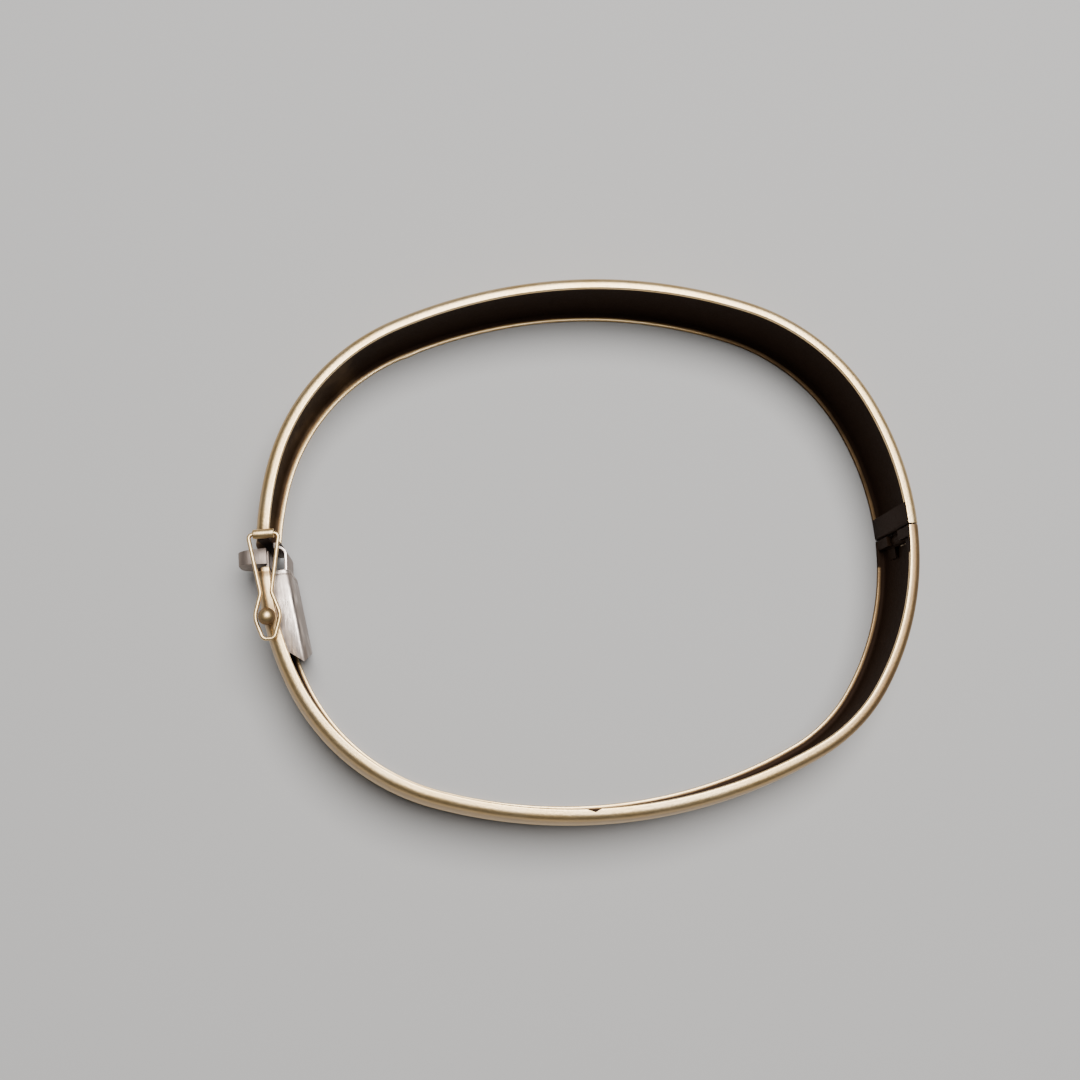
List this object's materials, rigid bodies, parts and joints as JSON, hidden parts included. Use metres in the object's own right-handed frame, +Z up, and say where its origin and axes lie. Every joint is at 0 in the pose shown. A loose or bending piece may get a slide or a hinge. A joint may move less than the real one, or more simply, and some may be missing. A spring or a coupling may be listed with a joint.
{
  "type": "bangle",
  "caption": "Hinged oval bangle of hollow domed sheet with a sprung tongue clasp and a wire safety catch over a ball.",
  "frame": {"origin": "middle of the footprint, on the surface that the bangle lies on", "axes": "+X from the clasp to the hinge along the oval's long axis, +Y towards the half that opens, +Z up, along the wrist"},
  "size_m": [0.0632, 0.051, 0.0098],
  "materials": {
    "gold": "worn satin, tarnished",
    "white_metal": "brushed, scratched"
  },
  "bodies": {
    "lower": {"lower_half": "gold", "hinge_pin": "gold", "clasp_box": "white_metal"},
    "upper": {"upper_half": "gold", "tongue": "white_metal"},
    "thumb": {"thumb_piece": "white_metal"},
    "catch": {"safety_catch": "gold"}
  },
  "joints": [
    {"name": "bangle_hinge", "type": "hinge", "parent": "lower", "child": "upper", "pos_m": [0.03095, -0.002, 0.004], "axis": [0, 0, -1], "range_deg": [0, 50]},
    {"name": "thumb_press", "type": "hinge", "parent": "upper", "child": "thumb", "pos_m": [-0.02729, -0.00695, 0.004], "axis": [0, 0, -1], "range_deg": [0, 3], "stiffness_Nm_per_rad": 0.2},
    {"name": "catch_lift", "type": "hinge", "parent": "upper", "child": "catch", "pos_m": [-0.02872, 0.00245, 0.0084], "axis": [-1, 0, 0], "range_deg": [0, 170]}
  ]
}
